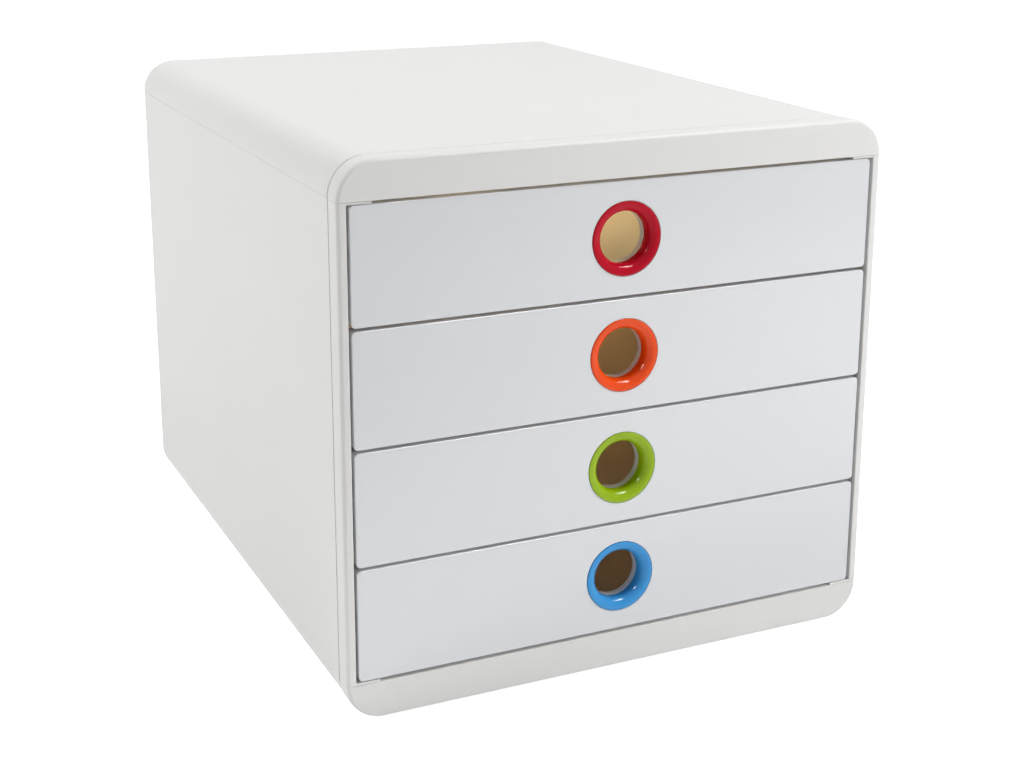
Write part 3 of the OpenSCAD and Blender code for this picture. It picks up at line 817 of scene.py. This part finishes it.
class DRAWERBOX_OT_fronts(bpy.types.Operator):
    """Model the glossy drawer fronts with their rims, ring seats and snap hooks"""
    bl_idname = "drawer_box.fronts"
    bl_label = "Drawer fronts"

    def execute(self, context):
        sizes = context.scene.drawer_box_drawers
        material = front_plastic(context.scene.drawer_box_colours)
        for number in DRAWERS:
            node = f"drawer_front_{number}"
            low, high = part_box(node)
            bm = bmesh.new()
            mouth, root = self.seat(bm, sizes, low, high)
            self.face(bm, sizes, low, high, mouth)
            self.pocket(bm, sizes, low, root)
            self.ribs_and_hooks(bm, sizes, low, high)
            finish_piece(bm, f"front_{number}", f"drawer_{number}", [node],
                         material)
        return {"FINISHED"}

    def seat(self, bm, sizes, low, high):
        """The ring's seat and sleeve; the edges round its mouth and round its root."""
        spin(bm, seat_profile(bm, sizes), (0.0, 1.0, 0.0), HOLE_STEPS)
        bmesh.ops.translate(bm, vec=(0.0, low.y, (low.z + high.z) / 2.0), verts=bm.verts)
        rims = [edge for edge in bm.edges if edge.is_boundary]
        mouth = [edge for edge in rims if edge.verts[0].co.y < low.y + TINY]
        return mouth, [edge for edge in rims if edge not in mouth]

    def face(self, bm, sizes, low, high, mouth):
        """The face and the outer side of the rim, joined to the mouth of the seat."""
        known = set(bm.faces)
        edges = outline(bm, [(low.x, low.y, low.z), (high.x, low.y, low.z),
                             (high.x, low.y, high.z), (low.x, low.y, high.z)],
                        [sizes.corner] * 4, steps=8)
        push(bm, fill(bm, edges), (0.0, sizes.depth, 0.0))
        soften(bm, lambda co: co.y < low.y + TINY, sizes.edge, steps=5)
        bm.normal_update()
        plate = largest(f for f in bm.faces if f not in known and abs(f.normal.y) > FACING
                        and f.calc_center_median().y < low.y + TINY)
        fill_between(bm, open_face(bm, plate), mouth)

    def pocket(self, bm, sizes, low, root):
        """The pocket behind the face, joined to the root of the sleeve."""
        back = largest(f for f in bm.faces if abs(f.normal.y) > FACING
                       and f.calc_center_median().y > low.y + sizes.depth - TINY)
        inset(bm, [back], sizes.rim)
        moved = push(bm, [back], (0.0, sizes.skin - sizes.depth, 0.0))[0]
        fill_between(bm, open_face(bm, moved), root)

    def ribs_and_hooks(self, bm, sizes, low, high):
        """Stiffening ribs in the pocket and the hooks that hold the tray's front wall."""
        inside = low.y + sizes.skin / 2.0
        for share in FRONT_RIBS:
            middle = share * high.x
            block(bm, (middle - sizes.rib / 2.0, inside, low.z + sizes.rim / 2.0),
                  (middle + sizes.rib / 2.0, low.y + sizes.depth, high.z - sizes.rim / 2.0))
        tip = low.y + sizes.depth + sizes.tray + sizes.seat_gap
        end = tip + sizes.hook_reach
        for share in HOOKS:
            left = share * high.x - sizes.hook_width / 2.0
            right = left + sizes.hook_width
            for base, up in ((high.z - sizes.hook_inset, 1.0), (low.z + sizes.hook_inset, -1.0)):
                block(bm, (left, inside, base), (right, end, base + up * sizes.hook), FINE_EDGE)
                block(bm, (left, tip, base + up * sizes.hook / 2.0),
                      (right, end, base + up * (sizes.hook + sizes.hook_reach)), SMALL_EDGE)


class DRAWERBOX_OT_rings(bpy.types.Operator):
    """Spin the flared finger rings"""
    bl_idname = "drawer_box.rings"
    bl_label = "Finger rings"

    def execute(self, context):
        sizes = context.scene.drawer_box_drawers
        colours = context.scene.drawer_box_colours
        flare = sizes.ring_outer - sizes.lip_width - sizes.hole
        tip = flare - sizes.lip_proud + sizes.spigot
        bend = sizes.ring_outer - sizes.lip_width
        shoulder = sizes.ring_wall - sizes.lip_proud
        wall = sizes.hole + sizes.ring_wall
        points = ((sizes.hole, tip, THIN_EDGE), (sizes.hole, -sizes.lip_proud, flare),
                  (sizes.ring_outer, -sizes.lip_proud, sizes.lip_edge),
                  (sizes.ring_outer, sizes.lip_sunk, 0.0), (bend, sizes.lip_sunk, 0.0),
                  (bend, shoulder, 0.0), (wall, shoulder, flare - sizes.ring_wall),
                  (wall, tip, 0.0))
        for number, name in DRAWERS.items():
            node = f"grip_ring_{number}"
            low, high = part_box(node)
            bm = bmesh.new()
            section(bm, points, steps=12)
            spin(bm, bm.edges[:], (0.0, 1.0, 0.0), RING_STEPS)
            bmesh.ops.translate(bm, verts=bm.verts, vec=(
                0.0, low.y + sizes.lip_proud, (low.z + high.z) / 2.0))
            finish_piece(bm, f"finger_ring_{name}", f"drawer_{number}", [node],
                         ring_plastic(colours, name))
        return {"FINISHED"}


# ---------------------------------------------------------------- stage

# each lamp's place, target and size, and the kind of ray that doesn't see it:
# fill and back leave no reflections, and glint and spark show in nothing else
LAMPS = {
    "key": ((0.76, -0.42, 1.30), (0.0, -0.18, 0.20), (0.20, 0.50), None),
    "side": ((-1.25, 0.30, 1.15), (0.0, 0.05, 0.15), (1.10, 1.10), None),
    "fill": ((0.60, -0.90, 0.40), (0.10, -0.18, 0.12), (0.40, 0.40), "glossy"),
    "glint": ((0.38, -0.54, 1.20), (0.0, -0.18, 0.15), (0.48, 0.26), "diffuse"),
    "spark": ((-0.88, -0.27, 0.82), (0.0, -0.18, 0.15), (0.14, 0.30), "diffuse"),
    "back": ((0.20, 1.60, 0.75), (0.0, 0.18, 0.13), (1.00, 1.00), "glossy"),
}

# the lamp that stands for light from the table lies just above the floor and faces up
BOUNCE_PLACE = (0.25, -0.48, 0.004)
BOUNCE_SIZE = (1.10, 0.22)
BOUNCE_TURN = radians(-22.0)

# the light inside each drawer: its share of the glow's power, and its colour
AMBER = (1.0, 0.76, 0.42)
BROWN = (1.0, 0.62, 0.30)
GLOWS = {1: (1.0, AMBER), 2: (0.43, BROWN), 3: (0.28, BROWN), 4: (0.2, BROWN)}

# its place along Y, its height over the tray's middle, and its radius
GLOW_DEPTH = 0.02
GLOW_RISE = 0.012
GLOW_RADIUS = 0.01

# half the floor's width, and how far the camera sees
FLOOR_HALF = 12.0
FARTHEST = 50.0


def add_lamp(name, kind, watts, place):
    """A lamp at a place, which the camera doesn't see."""
    light = bpy.data.lights.new(name, kind)
    light.energy = watts
    lamp = bpy.data.objects.new(name, light)
    bpy.context.scene.collection.objects.link(lamp)
    lamp.location = place
    lamp.visible_camera = False
    return lamp


def panel_lamp(name, watts, place, size):
    """A rectangular lamp at a place, which the camera doesn't see."""
    lamp = add_lamp(name, "AREA", watts, place)
    lamp.data.shape = "RECTANGLE"
    lamp.data.size, lamp.data.size_y = size
    return lamp


class DRAWERBOX_OT_stage(bpy.types.Operator):
    """Set up the floor, the lights and the camera"""
    bl_idname = "drawer_box.stage"
    bl_label = "Stage"

    def execute(self, context):
        stage = context.scene.drawer_box_stage
        scene = context.scene
        scene.view_settings.view_transform = "Standard"
        self.sky(scene, stage)
        self.floor(scene, stage)
        self.lamps(stage)
        self.glow(stage)
        self.camera(scene, stage)
        return {"FINISHED"}

    def sky(self, scene, stage):
        """Light from all round, white to the camera and in reflections."""
        scene.world = bpy.data.worlds.new("studio")
        tree = NodeTree(scene.world)
        strength = stage.sky + tree.seen() * (1.0 - stage.sky)
        tree.node("ShaderNodeOutputWorld", {}, {"Surface": tree.node(
            "ShaderNodeBackground", {}, {"Color": WHITE, "Strength": strength})})

    def floor(self, scene, stage):
        """A pale floor that keeps the object's shadow and is white elsewhere."""
        bm = bmesh.new()
        bmesh.ops.create_grid(bm, x_segments=2, y_segments=2, size=FLOOR_HALF)
        mesh = bpy.data.meshes.new("floor")
        bm.to_mesh(mesh)
        bm.free()
        floor = bpy.data.objects.new("floor", mesh)
        scene.collection.objects.link(floor)
        material = bpy.data.materials.new("stage_floor")
        tree = NodeTree(material)
        lift = tree.node("ShaderNodeEmission", {}, {
            "Color": WHITE, "Strength": tree.seen() * stage.floor_lift})
        matt = tree.node("ShaderNodeBsdfDiffuse", {}, {"Color": (*stage.floor, 1.0)})
        tree.node("ShaderNodeOutputMaterial", {}, {"Surface": tree.node(
            "ShaderNodeAddShader", {}, {0: matt, 1: lift})})
        mesh.materials.append(material)

    def lamps(self, stage):
        """The studio lamps."""
        for name, (place, target, size, hidden_from) in LAMPS.items():
            lamp = panel_lamp(name, getattr(stage, name), place, size)
            aim = Vector(target) - Vector(place)
            lamp.rotation_euler = aim.to_track_quat("-Z", "Y").to_euler()
            if hidden_from:
                setattr(lamp, f"visible_{hidden_from}", False)
        bounce = panel_lamp("bounce", stage.bounce, BOUNCE_PLACE, BOUNCE_SIZE)
        bounce.rotation_euler = (pi, 0.0, BOUNCE_TURN)

    def glow(self, stage):
        """Warm light in the closed drawers, weaker from drawer to drawer."""
        for number, (share, tint) in GLOWS.items():
            low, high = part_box(f"drawer_tray_{number}")
            lamp = add_lamp(f"glow_{number}", "POINT", stage.glow * share,
                            (0.0, GLOW_DEPTH, (low.z + high.z) / 2.0 + GLOW_RISE))
            lamp.data.color = tint
            lamp.data.shadow_soft_size = GLOW_RADIUS

    def camera(self, scene, stage):
        """The camera, with its lens shifted."""
        camera = bpy.data.objects.new("camera", bpy.data.cameras.new("camera"))
        scene.collection.objects.link(camera)
        camera.location = stage.camera_place
        turn = (Vector(stage.camera_aim).to_track_quat("-Z", "Y").to_matrix()
                @ Matrix.Rotation(stage.roll, 3, "Z"))
        camera.rotation_euler = turn.to_euler()
        camera.data.lens = stage.lens
        camera.data.sensor_width = stage.sensor
        camera.data.shift_y = stage.shift
        camera.data.clip_end = FARTHEST
        scene.camera = camera


class DRAWERBOX_PT_panel(bpy.types.Panel):
    """Lists the steps and settings of the drawer box"""
    bl_idname = "DRAWERBOX_PT_panel"
    bl_label = "Drawer Box"
    bl_space_type = "VIEW_3D"
    bl_region_type = "UI"
    bl_category = "Drawer Box"

    def draw(self, context):
        for operator in OPERATORS:
            self.layout.operator(operator.bl_idname)
        for name in SETTINGS:
            settings = getattr(context.scene, name)
            box = self.layout.box()
            for entry in settings.__annotations__:
                box.prop(settings, entry)


SETTINGS = {
    "drawer_box_casing": DrawerBoxCasing,
    "drawer_box_drawers": DrawerBoxDrawers,
    "drawer_box_colours": DrawerBoxColours,
    "drawer_box_stage": DrawerBoxStage,
}
OPERATORS = (
    DRAWERBOX_OT_stage,
    DRAWERBOX_OT_casing,
    DRAWERBOX_OT_feet,
    DRAWERBOX_OT_trays,
    DRAWERBOX_OT_fronts,
    DRAWERBOX_OT_rings,
)


def register():
    for kind in (*SETTINGS.values(), *OPERATORS, DRAWERBOX_PT_panel):
        bpy.utils.register_class(kind)
    for name, group in SETTINGS.items():
        setattr(bpy.types.Scene, name, bpy.props.PointerProperty(type=group))


def unregister():
    for name in SETTINGS:
        delattr(bpy.types.Scene, name)
    for kind in reversed((*SETTINGS.values(), *OPERATORS, DRAWERBOX_PT_panel)):
        bpy.utils.unregister_class(kind)


def main():
    register()
    bpy.ops.drawer_box.stage()
    bpy.ops.drawer_box.casing()
    bpy.ops.drawer_box.feet()
    bpy.ops.drawer_box.trays()
    bpy.ops.drawer_box.fronts()
    bpy.ops.drawer_box.rings()


if __name__ == "__main__":
    main()
